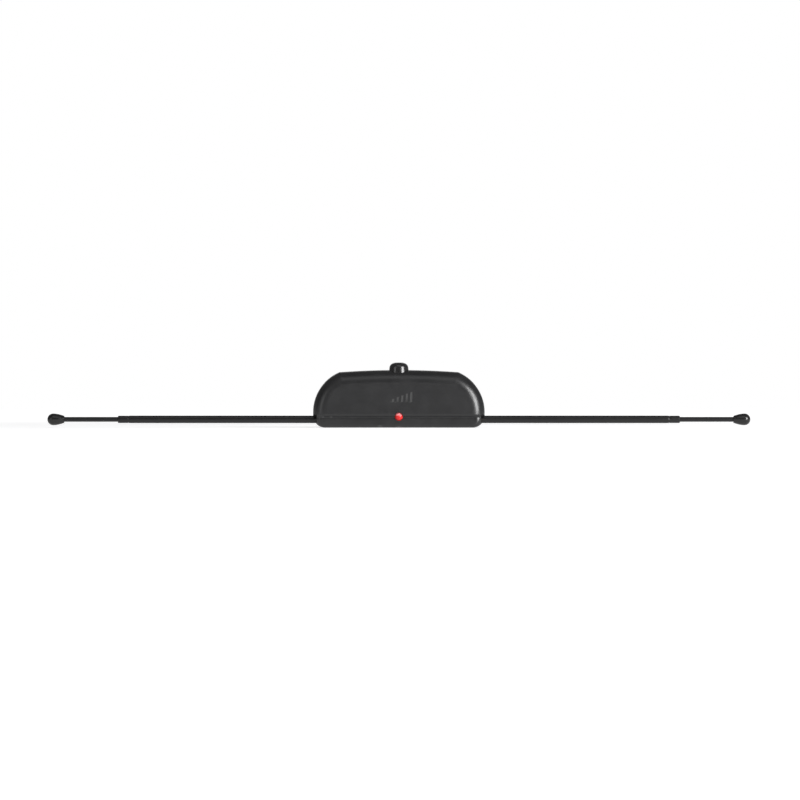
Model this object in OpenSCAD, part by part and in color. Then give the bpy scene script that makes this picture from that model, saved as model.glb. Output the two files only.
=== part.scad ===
// Stick-on amplified dipole antenna: a two-part moulded housing with a foam
// pad behind it, and a telescopic arm on a friction pivot at each side.
// X runs along the arms, the face looks along -Y, Z is up.
// The origin is at the middle of the bottom of the whole object.

/* [Housing] */
// Width of the housing
case_w = 106.5; // [96:0.5:135]
// Height of the housing at the top of its crown
case_h = 35.7; // [33:0.1:44]
// Depth of the front cover, from the joint between the covers to the face
front_depth = 9.2; // [8.9:0.1:12]
// Depth of the back cover, from the joint between the covers to the back
back_depth = 8.5; // [8.2:0.1:11]
// Wall thickness of both covers
wall = 1.8; // [1.4:0.1:2.2]
// Radius of the large upper corners
corner_r = 27; // [22:0.5:30]
// Height that the circles of the upper corners would reach above the crown
corner_over = 0.8; // [0.8:0.1:2]
// Rise of the crown over the crown's nominal span
crown_rise = 1.2; // [0.6:0.1:2]
// Nominal span of the crown
crown_span = 69.8; // [60:0.1:80]
// Radius of the lower corners
foot_r = 7.7; // [6.5:0.1:9]
// Fillet round the face
face_fillet = 8; // [5:0.1:8.5]
// Fillet round the back
back_fillet = 2.5; // [1:0.1:4]
// Rounding of the front bottom edge
foot_edge = 2; // [0.5:0.1:3]
// Height of the recessed band along the bottom of the face
band_h = 7.1; // [5:0.1:9]
// Depth of the step from the face down to the band
band_step = 1.3; // [0.6:0.1:2]
// Height of the raised mark above the face
mark_h = 0.3; // [0.1:0.05:0.5]

/* [Cable gland] */
// Radius of the gland's head
gland_r = 5.9; // [5:0.1:7.4]
// Height of the gland's head above the crown
gland_rise = 4.6; // [3:0.1:7]
// Radius of the gland's neck
gland_neck_r = 4; // [3.4:0.1:4.8]
// Diameter of the hole for the cable
cable_hole_d = 3.2; // [2.4:0.1:5]

/* [Arms] */
// Distance of each arm's pivot from the middle
pivot_x = 43; // [40:0.5:46]
// Highest angle of an arm above the horizontal
swing = 75; // [45:1:80]
// Distance from the middle to the mouth of an outer tube
tube_end_x = 174; // [150:1:230]
// Outer diameter of an outer tube
tube_d = 4.7; // [3.9:0.1:4.9]
// Wall of an outer tube
tube_wall = 0.35; // [0.25:0.05:0.5]
// Wall of the bush between an outer tube and its inner rod
bush_wall = 0.5; // [0.35:0.05:0.6]
// Length of inner rod that shows between tube and tip
rod_show = 33.3; // [20:0.1:45]
// Length of a tip cap
tip_len = 10.5; // [8:0.1:16]
// Largest diameter of a tip cap
tip_d = 7.3; // [5.5:0.1:9]
// Diameter of the pivot screws
pivot_d = 2; // [1.6:0.1:2.4]

/* [Electronics] */
// Width of the circuit board
board_w = 56; // [50:1:58]
// Gap between the circuit board and the cable gland above it
board_gap = 2; // [1:0.1:4]
// Thickness of the circuit board
board_t = 1.2; // [0.8:0.1:1.6]
// Diameter of the indicator lens
led_d = 5; // [3:0.1:5]
// Height of the indicator
led_z = 6.85; // [6.5:0.05:8]

/* [Foam pad] */
// Width of the foam pad
pad_w = 54; // [40:1:60]
// Height of the foam pad
pad_h = 20; // [12:1:22]
// Thickness of the foam pad
pad_t = 1; // [0.8:0.1:3]

/* [Fits] */
// Radial clearance of parts that turn or slide
running = 0.03; // [0.02:0.01:0.08]
// Radial gap of parts that are pressed or glued together
seated = 0.02; // [0.01:0.01:0.04]
// Play of a swivel eye between its washers, each side
eye_play = 0.05; // [0.03:0.01:0.1]
// Gap between a swivel eye and the housing's floor
floor_gap = 0.7; // [0.3:0.1:1.5]
// Gap round an arm in its swing slot
slot_gap = 0.5; // [0.3:0.05:0.8]
// Gap left at each end of a rod's travel
end_gap = 0.5; // [0.3:0.1:2]

/* [Hidden] */

eps = 0.01;
black_plastic = "#3b3b3b";
black_metal = "#343434";

// Housing outline: two corner arcs, the crown arc between them, two foot arcs.
corner_x = case_w / 2 - corner_r;
corner_z = case_h - corner_r + corner_over;
foot_x = case_w / 2 - foot_r;
crown_r = (pow(crown_span / 2, 2) + pow(crown_rise, 2)) / (2 * crown_rise);
crown_z = case_h - crown_r;
corner_to_crown = norm([corner_x, corner_z - crown_z]);
corner_sweep = atan2(crown_z - corner_z, -corner_x)
    + acos((pow(corner_r, 2) + pow(corner_to_crown, 2) - pow(crown_r, 2))
        / (2 * corner_r * corner_to_crown));
shoulder_x = corner_x + corner_r * cos(corner_sweep);
crown_sweep = asin(shoulder_x / crown_r);
crown_depth = 20;
edge_steps = 6;
corner_fn = 64;
crown_fn = 300;

// Gland levels, from the seat of its head down to its inner flange.
gland_seat_z = case_h - 2.1;
gland_web = 1.8;
gland_flange_t = 1.8;
gland_flange_r = gland_r - 0.4;
gland_bottom_z = gland_seat_z - gland_web - gland_flange_t;
gland_top_z = case_h + gland_rise;
gland_draft = 0.45;
gland_shoulder = 3.2;
gland_gap = 0.1;

// Arm levels across the depth of the housing.
tube_r = tube_d / 2;
bore_r = tube_r - tube_wall;
rod_r = bore_r - bush_wall;
eye_t = 2 * bore_r + 0.2;
eye_r = pivot_d / 2 + 1.6;
washer_t = 0.6;
tag_t = 0.4;
ring_r = eye_r - 0.1;
pivot_z = wall + floor_gap + eye_r;
eye_front = -eye_t / 2 - eye_play;
eye_back = eye_t / 2 + eye_play;
front_boss_y = eye_front - tag_t;
back_boss_y = eye_back + washer_t;

// Screws: the same form in two sizes.
screw_head_r = 2;
screw_head_t = 1.4;
screw_seat_y = back_depth - 2.1;
screw_hole_gap = 0.15;
recess_gap = 0.3;
boss_r = 3.2;
front_boss_r = 2.9;
cover_screw_d = 2;
cover_screw_x = case_w / 2 - 19.75;
cover_screw_z = case_h - 9.2;

// Board levels.
board_back = back_depth - wall - 2.3;
board_front = board_back - board_t;
board_z0 = led_z - 1.85;
board_h = gland_bottom_z - board_gap - board_z0;
board_screw_d = 1.6;
board_screw_x = board_w / 2 - 4;
board_screw_z = [board_z0 + 4, board_z0 + board_h - 4];

// Indicator: its tip stands level with the raised mark.
led_tip = -front_depth - mark_h;
led_len = 8.6;
led_rim = 0.4;
led_rim_t = 1;
led_pitch = 2.54;
led_lead = 0.5;
led_back = led_tip + led_len;

// Arm stations along X.
tube_start_x = pivot_x + 4.5;
stem_end_x = pivot_x + 12.5;
groove_back = 6.5;
groove_half = 0.25;
groove_ramp = 0.35;
groove_depth = 0.2;
nose_drop = 0.07;
lip_t = 0.3;
lip_r = rod_r + 0.2;
bush_end_x = tube_end_x - lip_t - 0.05;
bush_len = 8.1;
bush_start_x = bush_end_x - bush_len;
tip_start_x = tube_end_x + rod_show;
tip_end_x = tip_start_x + tip_len;
tip_neck_r = 2.3;
tip_socket = 6;
retract = rod_show - end_gap;
rod_start_x = stem_end_x + retract + 1.7;
rod_end_x = tip_start_x + tip_socket;
clip_len = 8;
clip_slit = 0.5;
extend = bush_start_x - end_gap - rod_start_x - clip_len;

// Half profile of a disc whose outer edge is rounded by edge at its far face.
function edge_profile(inner, r, depth, edge) = concat(
    [[inner, 0], [r, 0]],
    [for (i = [0:edge_steps])
        let (a = 90 * i / edge_steps)
        [r - edge + edge * cos(a), depth - edge + edge * sin(a)]],
    [[inner, depth]]
);

// One half of the housing as a solid, drawn flat with its depth along +Z.
// inset moves the outline and its fillets inwards for the cavity.
module case_form(depth, edge, bottom_edge, inset) {
    side_edge = edge - inset;
    hull() {
        for (s = [0, 1]) {
            mirror([s, 0, 0])
                translate([corner_x, corner_z, 0])
                    rotate_extrude(angle = corner_sweep, $fn = corner_fn)
                        polygon(edge_profile(0, corner_r - inset, depth, side_edge));
            mirror([s, 0, 0])
                translate([foot_x, foot_r, 0])
                    rotate([0, 0, -90])
                        rotate_extrude(angle = 90, $fn = corner_fn)
                            polygon(edge_profile(0, foot_r - inset, depth,
                                                 max(bottom_edge - inset, 0.4)));
        }
        translate([0, crown_z, 0])
            rotate([0, 0, 90 - crown_sweep])
                rotate_extrude(angle = 2 * crown_sweep, $fn = crown_fn)
                    polygon(edge_profile(crown_r - crown_depth, crown_r - inset, depth, side_edge));
    }
}

module front_form(depth, inset) {
    rotate([90, 0, 0])
        case_form(depth, face_fillet, band_step + foot_edge, inset);
}

module back_form(depth, inset) {
    mirror([0, 1, 0])
        rotate([90, 0, 0])
            case_form(depth, back_fillet, back_fillet, inset);
}

// Everything in front of the recessed band, moved back and up by inset.
module band_cut(inset) {
    translate([-case_w, -2 * front_depth, -case_h])
        cube([2 * case_w, front_depth + band_step + inset, case_h + band_h + inset]);
}

// A round bar along Y from y0 to y1.
module bar_y(x, z, r, y0, y1, fn = 48) {
    translate([x, y0, z])
        rotate([-90, 0, 0])
            cylinder(r = r, h = y1 - y0, $fn = fn);
}

// The space that a swinging arm sweeps on the right side, between y0 and y1.
module swing_slot(y0, y1) {
    reach = case_w / 2;
    c = tube_r + slot_gap;
    translate([pivot_x, y1, pivot_z])
        rotate([90, 0, 0])
            linear_extrude(y1 - y0)
                polygon(concat(
                    [[0, -c], [reach, -c]],
                    [for (a = [0:15:swing]) reach * [cos(a), sin(a)]],
                    [reach * [cos(swing), sin(swing)] + c * [-sin(swing), cos(swing)],
                     c * [-sin(swing), cos(swing)]]
                ));
}

module both_sides() {
    children();
    mirror([1, 0, 0])
        children();
}

// Web that the cable gland is clamped in, inside the top wall.
module gland_web_block(y0, y1) {
    half = gland_r + 2.4;
    top = case_h - wall + 0.05;
    translate([-half, y0, gland_seat_z - gland_web])
        cube([2 * half, y1 - y0, top - gland_seat_z + gland_web]);
}

// Room for the gland: its flange, its neck and its head.
module gland_hole() {
    translate([0, 0, gland_bottom_z - 1])
        cylinder(r = gland_flange_r + gland_gap, h = gland_flange_t + 1, $fn = 64);
    translate([0, 0, gland_bottom_z])
        cylinder(r = gland_neck_r + gland_gap, h = case_h, $fn = 64);
    translate([0, 0, gland_seat_z])
        cylinder(r = gland_r + gland_draft + gland_gap, h = case_h, $fn = 64);
}

// Generic mark: five rising bars.
module mark() {
    bars = 5;
    bar_w = 1.4;
    pitch = 2.8;
    low = 2;
    rise = 1.05;
    mark_x = 2;
    mark_z = 15.8;
    for (i = [0:bars - 1])
        translate([mark_x + (i - (bars - 1) / 2) * pitch - bar_w / 2,
                   -front_depth - mark_h, mark_z])
            cube([bar_w, mark_h + wall / 2, low + i * rise]);
}

// Notch at the end of a swing slot through which an arm shows from the front.
module arm_notch() {
    notch = 2.5;
    gap = 0.3;
    translate([case_w / 2 - notch, -2 * front_depth, pivot_z - tube_r - gap])
        cube([notch * 2, 2 * front_depth, tube_d + 2 * gap]);
}

module front_cover() {
    floor_y = -front_depth + wall / 2;
    color(black_plastic)
        difference() {
            union() {
                difference() {
                    front_form(front_depth, 0);
                    band_cut(0);
                    difference() {
                        front_form(front_depth - wall, wall);
                        band_cut(wall);
                    }
                }
                both_sides() {
                    bar_y(pivot_x, pivot_z, front_boss_r, floor_y + band_step, front_boss_y);
                    bar_y(cover_screw_x, cover_screw_z, boss_r, floor_y, 0);
                }
                gland_web_block(-front_depth + 0.4 * face_fillet, 0);
                mark();
            }
            both_sides() {
                swing_slot(-tube_r - slot_gap, eps);
                arm_notch();
                bar_y(pivot_x, pivot_z, pivot_d / 2 + seated, floor_y + band_step + 0.8, 0);
                bar_y(cover_screw_x, cover_screw_z, cover_screw_d / 2 + seated,
                      floor_y + 0.8, eps);
            }
            gland_hole();
            bar_y(0, led_z, led_d / 2 + 0.1, -2 * front_depth, led_back);
        }
}

// Clearance hole and head recess of a screw put in from the back.
module screw_hole(x, z, d) {
    bar_y(x, z, d / 2 + screw_hole_gap, -eps, back_depth + eps);
    bar_y(x, z, screw_head_r + recess_gap, screw_seat_y, back_depth + eps);
}

module back_cover() {
    color(black_plastic)
        difference() {
            union() {
                difference() {
                    back_form(back_depth, 0);
                    back_form(back_depth - wall, wall);
                }
                both_sides() {
                    bar_y(pivot_x, pivot_z, boss_r, back_boss_y, back_depth - wall / 2);
                    bar_y(cover_screw_x, cover_screw_z, boss_r, 0, back_depth - wall / 2);
                    for (z = board_screw_z)
                        bar_y(board_screw_x, z, 2.2, board_back, back_depth - wall / 2);
                }
                gland_web_block(0, back_depth - wall / 2);
            }
            both_sides() {
                swing_slot(-eps, tube_r + slot_gap);
                screw_hole(pivot_x, pivot_z, pivot_d);
                screw_hole(cover_screw_x, cover_screw_z, cover_screw_d);
                bar_y(board_screw_x, board_screw_z[1], board_screw_d / 2 + seated,
                      board_back - eps, back_depth - 1);
            }
            gland_hole();
        }
}

module foam_pad() {
    pad_r = 2;
    pad_z = case_h / 2 - 0.85;
    color("#262626")
        translate([0, back_depth + pad_t, pad_z])
            rotate([90, 0, 0])
                linear_extrude(pad_t)
                    hull()
                        for (x = [-1, 1], z = [-1, 1])
                            translate([x * (pad_w / 2 - pad_r), z * (pad_h / 2 - pad_r)])
                                circle(r = pad_r, $fn = 32);
}

// Head with a domed top, neck in the web, and an inner flange.
module cable_gland() {
    neck_top = gland_seat_z;
    neck_low = gland_seat_z - gland_web;
    head_low_r = gland_r + gland_draft;
    color("#2b2b2b")
        difference() {
            rotate_extrude($fn = 96)
                polygon(concat(
                    [[0, gland_bottom_z], [gland_flange_r, gland_bottom_z], [gland_flange_r, neck_low],
                     [gland_neck_r, neck_low], [gland_neck_r, neck_top],
                     [head_low_r, neck_top], [head_low_r - 0.15, neck_top + 2]],
                    [for (i = [0:edge_steps])
                        let (a = 75 * i / edge_steps)
                        [gland_r - gland_shoulder + gland_shoulder * cos(a),
                         gland_top_z - gland_shoulder + gland_shoulder * sin(a)
                             - 0.25 * (1 - i / edge_steps)]],
                    [[cable_hole_d / 2 + 0.4, gland_top_z], [0, gland_top_z]]
                ));
            translate([0, 0, gland_bottom_z - 1])
                cylinder(d = cable_hole_d, h = case_h, $fn = 64);
        }
}

// Pan-head screw along Y: head towards the back, seat at seat_y, tip at tip_y.
module screw(x, z, d, head_r, head_t, seat_y, tip_y) {
    slot = 0.5;
    difference() {
        union() {
            bar_y(x, z, d / 2, tip_y, seat_y + head_t / 2);
            bar_y(x, z, head_r, seat_y, seat_y + head_t);
        }
        for (a = [0, 90])
            translate([x, seat_y + head_t, z])
                rotate([0, a, 0])
                    cube([1.2 * head_r, head_t, slot], center = true);
    }
}

module cover_screws() {
    color("silver")
        both_sides()
            screw(cover_screw_x, cover_screw_z, cover_screw_d, screw_head_r, screw_head_t,
                  screw_seat_y, -front_depth + wall + 1.2);
}

module circuit_board() {
    color("darkgreen")
        difference() {
            translate([-board_w / 2, board_front, board_z0])
                cube([board_w, board_t, board_h]);
            both_sides() {
                bar_y(board_screw_x, board_screw_z[1], board_screw_d / 2 + screw_hole_gap,
                      0, back_depth);
                bar_y(led_pitch / 2, led_z, led_lead, 0, back_depth);
            }
        }
}

module board_screws() {
    color("silver")
        both_sides()
            mirror([0, 1, 0])
                screw(board_screw_x, board_screw_z[1], board_screw_d, 1.7, 1.2,
                      -board_front, -board_back - 2.6);
}

module led_lens() {
    r = led_d / 2;
    color("red")
        translate([0, led_back, led_z])
            rotate([90, 0, 0])
                rotate_extrude($fn = 64)
                    polygon(concat(
                        [[0, 0], [r + led_rim, 0], [r + led_rim, led_rim_t], [r, led_rim_t]],
                        [for (i = [0:8])
                            let (a = 90 * i / 8)
                            [r * cos(a), led_len - r + r * sin(a)]]
                    ));
}

module led_leads() {
    color("silver")
        both_sides()
            translate([led_pitch / 2 - led_lead / 2, led_back, led_z - led_lead / 2])
                cube([led_lead, board_back + 1 - led_back, led_lead]);
}

// Places a component on the board's front, its height along local +Z.
module on_board(x, z) {
    translate([x, board_front, z])
        rotate([90, 0, 0])
            children();
}

balun_x = -15;
balun_z = board_z0 + 11;
balun_hole_r = 1;
balun_pitch = 3.4;
balun_h = 6;

module balun_core() {
    color("#4a4640")
        on_board(balun_x, balun_z)
            difference() {
                translate([-4, -2.3, 0])
                    cube([8, 4.6, balun_h]);
                for (s = [-1, 1])
                    translate([s * balun_pitch / 2, 0, -1])
                        cylinder(r = balun_hole_r, h = balun_h + 2, $fn = 32);
            }
}

module balun_winding() {
    r = 0.35;
    top = balun_h + 0.7;
    h = balun_pitch / 2;
    color("#a2542c")
        on_board(balun_x, balun_z)
            wire([[-h, 0, 0], [-h, 0, balun_h], [-h + 0.5, 0, top], [h - 0.5, 0, top],
                  [h, 0, balun_h], [h, 0, 0]], r, [0, 1, 0]);
}

module transistor() {
    r = 2.3;
    stand = 1.6;
    color("#202020")
        on_board(0, board_z0 + 12) {
            translate([0, 0, stand])
                linear_extrude(4.6)
                    difference() {
                        circle(r = r, $fn = 48);
                        translate([-r, -r - 1])
                            square([2 * r, 2]);
                    }
            for (x = [-1, 0, 1])
                translate([x * 1.27 - 0.2, 0.4, 0])
                    cube([0.4, 0.4, stand + 1]);
        }
}

module electrolytic_capacitor() {
    r = 2.5;
    color("#1f2f66")
        on_board(13, board_z0 + 8)
            rotate_extrude($fn = 48)
                polygon([[0, 0], [r, 0], [r, 0.9], [r - 0.25, 1.1], [r, 1.3], [r, 5.8],
                         [r - 0.2, 6], [0, 6]]);
}

module disc_capacitors() {
    r = 2.2;
    t = 1.6;
    stand = 1.2;
    color("#b5793a")
        for (p = [[-6, 17], [6, 17], [20, 10]])
            on_board(p[0], board_z0 + p[1]) {
                translate([0, t / 2, stand + r])
                    rotate([90, 0, 0])
                        cylinder(r = r, h = t, $fn = 48);
                for (x = [-1.27, 1.27])
                    translate([x - 0.2, -0.2, 0])
                        cube([0.4, 0.4, stand + r]);
            }
}

module resistors() {
    r = 0.9;
    body = 4.5;
    span = 7;
    lift = 1.4;
    lead = 0.4;
    color("#c9ab7c")
        for (p = [[-22, 6], [-8, 5], [12, 14]])
            on_board(p[0], board_z0 + p[1]) {
                translate([-body / 2, 0, lift])
                    rotate([0, 90, 0])
                        cylinder(r = r, h = body, $fn = 32);
                translate([-span / 2, -lead / 2, lift - lead / 2])
                    cube([span, lead, lead]);
                for (s = [-1, 1])
                    translate([s * (span - lead) / 2 - lead / 2, -lead / 2, 0])
                        cube([lead, lead, lift]);
            }
}

function unit(v) = v / norm(v);
function wire_ring(c, t, r, side, sides) =
    let (u = unit(cross(t, side)),
         v = cross(u, t))
    [for (k = [0:sides - 1]) c + r * (cos(360 * k / sides) * u + sin(360 * k / sides) * v)];

// Round wire of radius r along the points p. No part of it runs along side.
module wire(p, r, side, sides = 8) {
    last = len(p) - 1;
    pts = [for (i = [0:last])
        each wire_ring(p[i], unit(p[min(i + 1, last)] - p[max(i - 1, 0)]), r, side, sides)];
    skin = [for (i = [0:last - 1], k = [0:sides - 1])
        let (n = (k + 1) % sides,
             a = i * sides + k,
             b = i * sides + n)
        each [[a, b, b + sides], [a, b + sides, a + sides]]];
    polyhedron(pts, concat(
        [[for (k = [sides - 1:-1:0]) k]], skin, [[for (k = [0:sides - 1]) last * sides + k]]
    ));
}

module right_pivot_screw() {
    color("silver")
        screw(pivot_x, pivot_z, pivot_d, screw_head_r, screw_head_t, screw_seat_y,
              -front_depth + band_step + wall / 2 + 1);
}

// Split spring ring between the eye and the back cover's boss.
module right_spring_washer() {
    color("silver")
        difference() {
            bar_y(pivot_x, pivot_z, ring_r, eye_back, back_boss_y);
            bar_y(pivot_x, pivot_z, pivot_d / 2 + screw_hole_gap, 0, back_depth);
            translate([pivot_x - ring_r - 1, 0, pivot_z - 0.2])
                cube([ring_r + 1, back_depth, 0.4]);
        }
}

tag_tail = [-7, 4];

// Ring terminal between the eye and the front cover's boss, with a tail for the lead.
module right_solder_tag() {
    tail_w = 2;
    color("#c8b56a")
        translate([pivot_x, front_boss_y + tag_t, pivot_z])
            rotate([90, 0, 0])
                linear_extrude(tag_t)
                    difference() {
                        union() {
                            circle(r = ring_r, $fn = 48);
                            rotate(atan2(tag_tail[1], tag_tail[0]))
                                translate([0, -tail_w / 2])
                                    square([norm(tag_tail) + 1, tail_w]);
                        }
                        circle(r = pivot_d / 2 + screw_hole_gap, $fn = 48);
                    }
}

module right_lead_wire() {
    x0 = pivot_x + tag_tail[0];
    z0 = pivot_z + tag_tail[1];
    x1 = board_w / 2 - 2;
    z1 = z0 + 2.5;
    color("#7a1f1f")
        wire([[x0, eye_front, z0], [x0, eye_front + 1, z0],
              [x0 - 1.8, eye_front + 2.5, z0 + 1.8], [x1 + 2, board_front - 2.3, z1],
              [x1 + 0.5, board_front - 1.6, z1], [x1, board_front - 0.6, z1],
              [x1, board_front, z1]], 0.4, [0, 0, 1]);
}

// Eye on the pivot screw, with a stem that plugs into the outer tube.
module right_swivel() {
    color("goldenrod")
        difference() {
            union() {
                bar_y(pivot_x, pivot_z, eye_r, -eye_t / 2, eye_t / 2);
                translate([pivot_x + pivot_d / 2 + 0.5, 0, pivot_z])
                    rotate([0, 90, 0])
                        cylinder(r = bore_r - seated, h = stem_end_x - pivot_x - pivot_d / 2 - 0.5,
                                 $fn = 48);
            }
            bar_y(pivot_x, pivot_z, pivot_d / 2 + running, -eye_t, eye_t);
        }
}

// Outer surface of the tube from its inner end to the mouth: [x, radius drop].
groove_x = tube_end_x - groove_back;
tube_steps = [
    [tube_start_x, 0],
    [groove_x - groove_half - groove_ramp, 0],
    [groove_x - groove_half, groove_depth],
    [groove_x + groove_half, groove_depth],
    [groove_x + groove_half + groove_ramp, nose_drop],
];

module right_outer_tube() {
    nose_r = tube_r - nose_drop;
    color(black_metal)
        translate([0, 0, pivot_z])
            rotate([0, 90, 0])
                rotate_extrude($fn = 96)
                    polygon(concat(
                        [for (s = tube_steps) [tube_r - s[1], s[0]]],
                        [[nose_r, tube_end_x - 0.4], [nose_r - 0.1, tube_end_x - 0.15],
                         [nose_r - 0.35, tube_end_x], [lip_r, tube_end_x],
                         [lip_r, tube_end_x - lip_t], [bore_r - nose_drop, tube_end_x - lip_t]],
                        [for (i = [len(tube_steps) - 1:-1:0])
                            [bore_r - tube_steps[i][1], tube_steps[i][0]]]
                    ));
}

module right_guide_bush() {
    color("white")
        translate([0, 0, pivot_z])
            rotate([0, 90, 0])
                rotate_extrude($fn = 96)
                    polygon(concat(
                        [[bore_r - seated, bush_start_x]],
                        [for (i = [1:len(tube_steps) - 1])
                            [bore_r - seated - tube_steps[i][1], tube_steps[i][0]]],
                        [[bore_r - seated - nose_drop, bush_end_x],
                         [rod_r + running, bush_end_x], [rod_r + running, bush_start_x]]
                    ));
}

module right_inner_rod() {
    color(black_metal)
        translate([rod_start_x, 0, pivot_z])
            rotate([0, 90, 0])
                cylinder(r = rod_r, h = rod_end_x - rod_start_x, $fn = 96);
}

// Split sleeve at the rod's inner end that grips the tube and stops at the bush.
module right_friction_clip() {
    color("goldenrod")
        translate([rod_start_x, 0, pivot_z])
            difference() {
                rotate([0, 90, 0])
                    cylinder(r = bore_r - running, h = clip_len, $fn = 96);
                translate([-1, 0, 0])
                    rotate([0, 90, 0])
                        cylinder(r = rod_r + seated, h = clip_len + 2, $fn = 96);
                translate([-1, -clip_slit / 2, 0])
                    cube([clip_len + 2, clip_slit, tube_d]);
            }
}

// Drop-shaped cap: sides that swell out from the neck into a ball end.
module right_tip_cap() {
    ball_r = tip_d / 2;
    ball_x = tip_end_x - ball_r;
    neck_x = tip_start_x + 0.3;
    color(black_plastic)
        translate([0, 0, pivot_z])
            rotate([0, 90, 0])
                rotate_extrude($fn = 96)
                    difference() {
                        polygon(concat(
                            [[0, tip_start_x], [tip_neck_r - 0.3, tip_start_x]],
                            [for (i = [0:8])
                                [tip_neck_r + (ball_r - tip_neck_r) * sin(90 * i / 8),
                                 neck_x + (ball_x - neck_x) * i / 8]],
                            [for (i = [1:12])
                                let (a = 90 * (1 - i / 12))
                                [ball_r * sin(a), ball_x + ball_r * cos(a)]]
                        ));
                        translate([0, tip_start_x - 1])
                            square([rod_r + seated, tip_socket + 1]);
                    }
}

module left_pivot_screw() mirror([1, 0, 0]) right_pivot_screw();
module left_spring_washer() mirror([1, 0, 0]) right_spring_washer();
module left_solder_tag() mirror([1, 0, 0]) right_solder_tag();
module left_lead_wire() mirror([1, 0, 0]) right_lead_wire();
module left_swivel() mirror([1, 0, 0]) right_swivel();
module left_outer_tube() mirror([1, 0, 0]) right_outer_tube();
module left_guide_bush() mirror([1, 0, 0]) right_guide_bush();
module left_inner_rod() mirror([1, 0, 0]) right_inner_rod();
module left_friction_clip() mirror([1, 0, 0]) right_friction_clip();
module left_tip_cap() mirror([1, 0, 0]) right_tip_cap();

front_cover();
back_cover();
foam_pad();
cable_gland();
cover_screws();
circuit_board();
board_screws();
led_lens();
led_leads();
balun_core();
balun_winding();
transistor();
electrolytic_capacitor();
disc_capacitors();
resistors();
right_pivot_screw();
right_spring_washer();
right_solder_tag();
right_lead_wire();
right_swivel();
right_outer_tube();
right_guide_bush();
right_inner_rod();
right_friction_clip();
right_tip_cap();
left_pivot_screw();
left_spring_washer();
left_solder_tag();
left_lead_wire();
left_swivel();
left_outer_tube();
left_guide_bush();
left_inner_rod();
left_friction_clip();
left_tip_cap();
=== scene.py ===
import math
import random

import bmesh
import bpy
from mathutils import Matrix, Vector


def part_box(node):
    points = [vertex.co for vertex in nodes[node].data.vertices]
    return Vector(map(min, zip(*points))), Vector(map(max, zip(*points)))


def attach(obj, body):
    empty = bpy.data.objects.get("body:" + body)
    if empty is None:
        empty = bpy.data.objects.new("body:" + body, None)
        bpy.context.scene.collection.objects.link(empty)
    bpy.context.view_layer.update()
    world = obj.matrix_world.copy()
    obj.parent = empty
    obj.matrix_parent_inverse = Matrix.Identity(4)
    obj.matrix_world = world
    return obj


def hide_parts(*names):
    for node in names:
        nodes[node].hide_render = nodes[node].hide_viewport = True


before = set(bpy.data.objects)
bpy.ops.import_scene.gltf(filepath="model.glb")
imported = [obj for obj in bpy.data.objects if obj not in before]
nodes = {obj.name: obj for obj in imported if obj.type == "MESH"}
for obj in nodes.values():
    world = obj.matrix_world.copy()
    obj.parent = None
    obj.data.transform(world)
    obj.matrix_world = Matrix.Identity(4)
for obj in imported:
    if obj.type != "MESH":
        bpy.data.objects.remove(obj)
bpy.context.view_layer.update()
MM = 0.001

# ---------------------------------------------------------------------------
# Camera
# A long lens level with the housing, square to its face, at the height of the
# middle of the housing.
CAMERA_AWAY = 2.0
FIELD_WIDTH = 0.4957
SENSOR_MM = 36.0
AIM = Vector((0.0007, 0.0, 0.0171))

camera_data = bpy.data.cameras.new("camera")
camera_data.sensor_width = SENSOR_MM
camera_data.lens = SENSOR_MM * CAMERA_AWAY / FIELD_WIDTH
camera_data.clip_end = 20.0
camera = bpy.data.objects.new("camera", camera_data)
camera.location = AIM + Vector((0.0, -CAMERA_AWAY, 0.0))
camera.rotation_euler = (math.radians(90), 0.0, 0.0)
bpy.context.scene.collection.objects.link(camera)
bpy.context.scene.camera = camera

# ---------------------------------------------------------------------------
# Housing covers
# Two shells of black ABS, injection moulded in a spark-eroded tool, which
# leaves a fine satin grain. The front one carries the face, a recessed band
# and a small raised mark, and both are screwed together from the back.
WALL = 1.8 * MM
CORNER_R = 27.0 * MM
CORNER_OVER = 0.8 * MM
FOOT_R = 7.7 * MM
CROWN_RISE = 1.2 * MM
CROWN_SPAN = 69.8 * MM
FACE_FILLET = 8.0 * MM
BACK_FILLET = 2.5 * MM
FOOT_EDGE = 2.0 * MM
BAND_TOP = 7.1 * MM
BAND_STEP = 1.3 * MM
BAND_BLEND = 1.15 * MM
BAND_GROOVE = 0.36 * MM
BAND_GROOVE_Z = BAND_TOP - 0.7 * MM
BAND_GROOVE_HALF = 0.6 * MM
BAND_GROOVE_ENDS = (1.0 * MM, 6.0 * MM)
MARK_RISE = 0.3 * MM
FACE_RIM = 1.2 * MM
JOINT_CHAMFER = 0.2 * MM
ROWS_LOW, ROWS_HIGH, COLUMNS = 26, 84, 132
ROWS_MEET = BAND_TOP - 1.6 * MM
ROWS_CROWDED = 0.55

front_low, front_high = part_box("front_cover")
back_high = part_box("back_cover")[1]
HALF_W = front_high.x
FRONT_DEPTH = -front_low.y - MARK_RISE
BACK_DEPTH = back_high.y
CASE_H = back_high.z

corner_x = HALF_W - CORNER_R
corner_z = CASE_H - CORNER_R + CORNER_OVER
foot_x = HALF_W - FOOT_R
crown_r = ((CROWN_SPAN / 2) ** 2 + CROWN_RISE**2) / (2 * CROWN_RISE)
crown_mid = CASE_H - crown_r
to_crown = math.hypot(corner_x, corner_z - crown_mid)
shoulder_angle = math.atan2(crown_mid - corner_z, -corner_x) + math.acos(
    (CORNER_R**2 + to_crown**2 - crown_r**2) / (2 * CORNER_R * to_crown)
)


def crown_height(x):
    """Height of the crown's arc at x."""
    return crown_mid + math.sqrt(crown_r**2 - x**2)


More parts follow.
